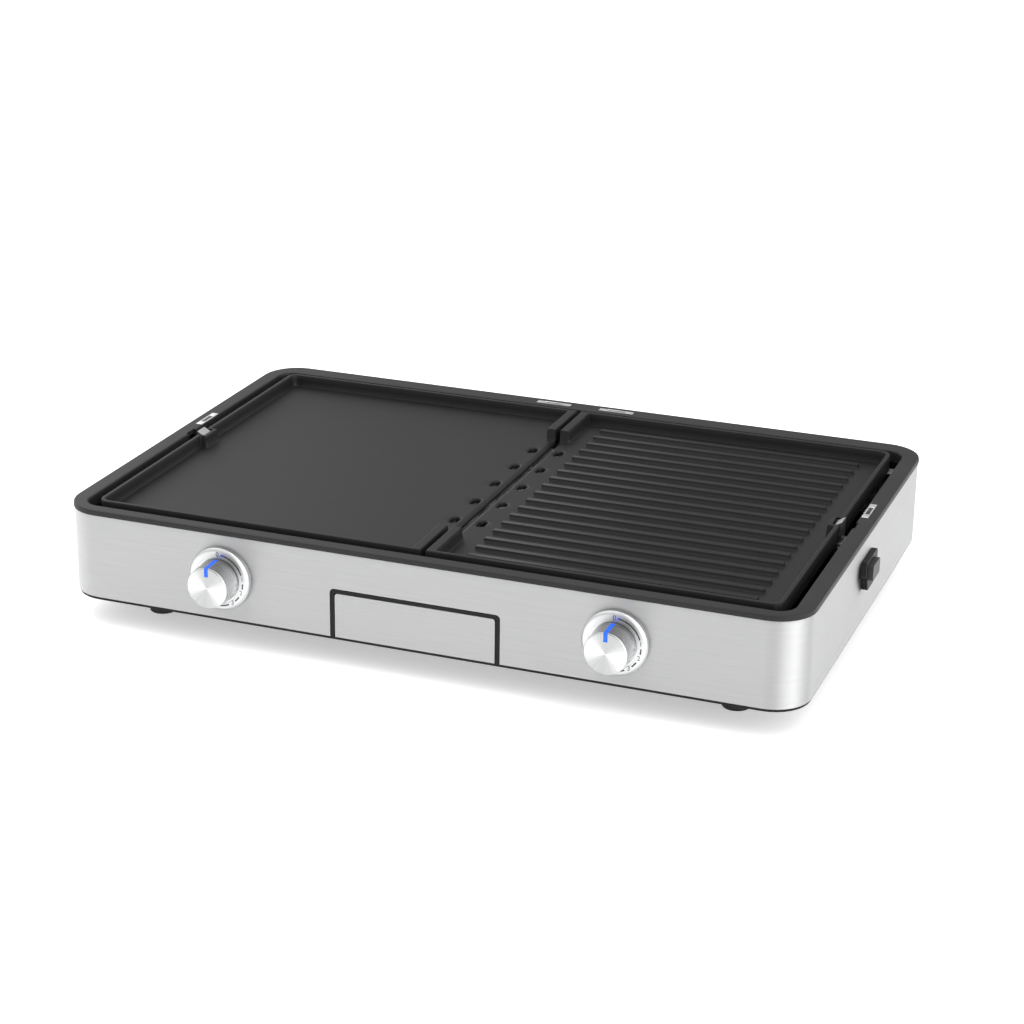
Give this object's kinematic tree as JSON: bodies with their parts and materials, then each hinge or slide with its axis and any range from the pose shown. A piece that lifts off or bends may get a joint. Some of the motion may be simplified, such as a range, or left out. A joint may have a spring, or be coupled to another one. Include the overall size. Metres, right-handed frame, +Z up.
{
  "type": "electric griddle",
  "caption": "Table-top electric griddle: low steel housing, flat and ribbed lift-out cast plates side by side, lit heat knobs, front drip drawer and side buttons freeing the plates.",
  "frame": {"origin": "under the middle of the bounding box, at the underside of the feet", "axes": "+X to the cook's right, +Y to the back, +Z up"},
  "size_m": [0.6174, 0.4296, 0.1011],
  "materials": {
    "brushed_steel": "brushed",
    "spun_aluminium": "satin",
    "cast_plate": "non-stick coated",
    "rim_coat": "matte enamel",
    "bright_steel": "polished",
    "zinc_steel": "zinc plated",
    "black_plastic": "matte",
    "rubber": "matte",
    "blue_light_pipe": "gloss",
    "pale_insulator": "matte"
  },
  "bodies": {
    "housing": {"front_panel": "brushed_steel", "rear_wrap_panel": "brushed_steel", "top_rim": "rim_coat", "base_pan": "black_plastic", "foot_front_left": "rubber", "foot_front_right": "rubber", "foot_rear_left": "rubber", "foot_rear_right": "rubber", "foot_screw_front_left": "zinc_steel", "foot_screw_front_right": "zinc_steel", "foot_screw_rear_left": "zinc_steel", "foot_screw_rear_right": "zinc_steel", "drawer_trim": "black_plastic", "drawer_rail_left": "zinc_steel", "drawer_rail_right": "zinc_steel", "dial_ring_left": "spun_aluminium", "dial_ring_right": "spun_aluminium", "thermostat_left": "black_plastic", "thermostat_right": "black_plastic", "pointer_lamp_left": "pale_insulator", "pointer_lamp_right": "pale_insulator", "heating_element_left": "zinc_steel", "heating_element_right": "zinc_steel", "heat_reflector_left": "zinc_steel", "heat_reflector_right": "zinc_steel", "plate_support_front": "zinc_steel", "plate_support_rear": "zinc_steel", "grease_chute": "zinc_steel", "latch_axle_left": "zinc_steel", "latch_axle_right": "zinc_steel", "latch_bracket_left": "zinc_steel", "latch_bracket_right": "zinc_steel", "button_spring_left": "zinc_steel", "button_spring_right": "zinc_steel", "button_bezel_left": "black_plastic", "button_bezel_right": "black_plastic", "guard_socket_left": "bright_steel", "guard_socket_right": "bright_steel", "guard_socket_rear_left": "bright_steel", "guard_socket_rear_right": "bright_steel", "terminal_block": "pale_insulator", "cord_gland": "black_plastic"},
    "drip_drawer": {"drawer_tray": "black_plastic", "drawer_front": "brushed_steel"},
    "left_knob": {"knob_left": "spun_aluminium", "knob_pointer_left": "blue_light_pipe", "knob_shaft_left": "zinc_steel"},
    "right_knob": {"knob_right": "spun_aluminium", "knob_pointer_right": "blue_light_pipe", "knob_shaft_right": "zinc_steel"},
    "left_plate": {"flat_plate": "cast_plate"},
    "right_plate": {"ribbed_plate": "cast_plate"},
    "left_button": {"release_button_left": "black_plastic"},
    "right_button": {"release_button_right": "black_plastic"},
    "left_hook": {"latch_hook_left": "bright_steel"},
    "right_hook": {"latch_hook_right": "bright_steel"}
  },
  "joints": [
    {"name": "drawer_pull", "type": "slide", "parent": "housing", "child": "drip_drawer", "axis": [0, -1, 0], "range_m": [0, 0.16]},
    {"name": "left_knob_turn", "type": "hinge", "parent": "housing", "child": "left_knob", "pos_m": [-0.16, -0.18875, 0.0591], "axis": [0, 1, 0], "range_deg": [0, 185]},
    {"name": "left_plate_lift", "type": "slide", "parent": "housing", "child": "left_plate", "axis": [0, 0, 1], "range_m": [0, 0.12]},
    {"name": "left_button_press", "type": "slide", "parent": "housing", "child": "left_button", "axis": [1, 0, 0], "range_m": [0, 0.004], "stiffness_N_per_m": 400, "springref_m": -0.003, "deforming": ["button_spring_left"]},
    {"name": "left_hook_swing", "type": "hinge", "parent": "housing", "child": "left_hook", "pos_m": [-0.2771, 0.00725, 0.0795], "axis": [0, -1, 0], "range_deg": [0, 20]},
    {"name": "right_knob_turn", "type": "hinge", "parent": "housing", "child": "right_knob", "pos_m": [0.16, -0.18875, 0.0591], "axis": [0, 1, 0], "range_deg": [0, 185]},
    {"name": "right_plate_lift", "type": "slide", "parent": "housing", "child": "right_plate", "axis": [0, 0, 1], "range_m": [0, 0.12]},
    {"name": "right_button_press", "type": "slide", "parent": "housing", "child": "right_button", "axis": [-1, 0, 0], "range_m": [0, 0.004], "stiffness_N_per_m": 400, "springref_m": -0.003, "deforming": ["button_spring_right"]},
    {"name": "right_hook_swing", "type": "hinge", "parent": "housing", "child": "right_hook", "pos_m": [0.2771, 0.00725, 0.0795], "axis": [0, 1, 0], "range_deg": [0, 20]}
  ],
  "couplings": [
    {"joint": "left_hook_swing", "follows": "left_button_press", "rad_per_m": 87},
    {"joint": "right_hook_swing", "follows": "right_button_press", "rad_per_m": 87}
  ]
}
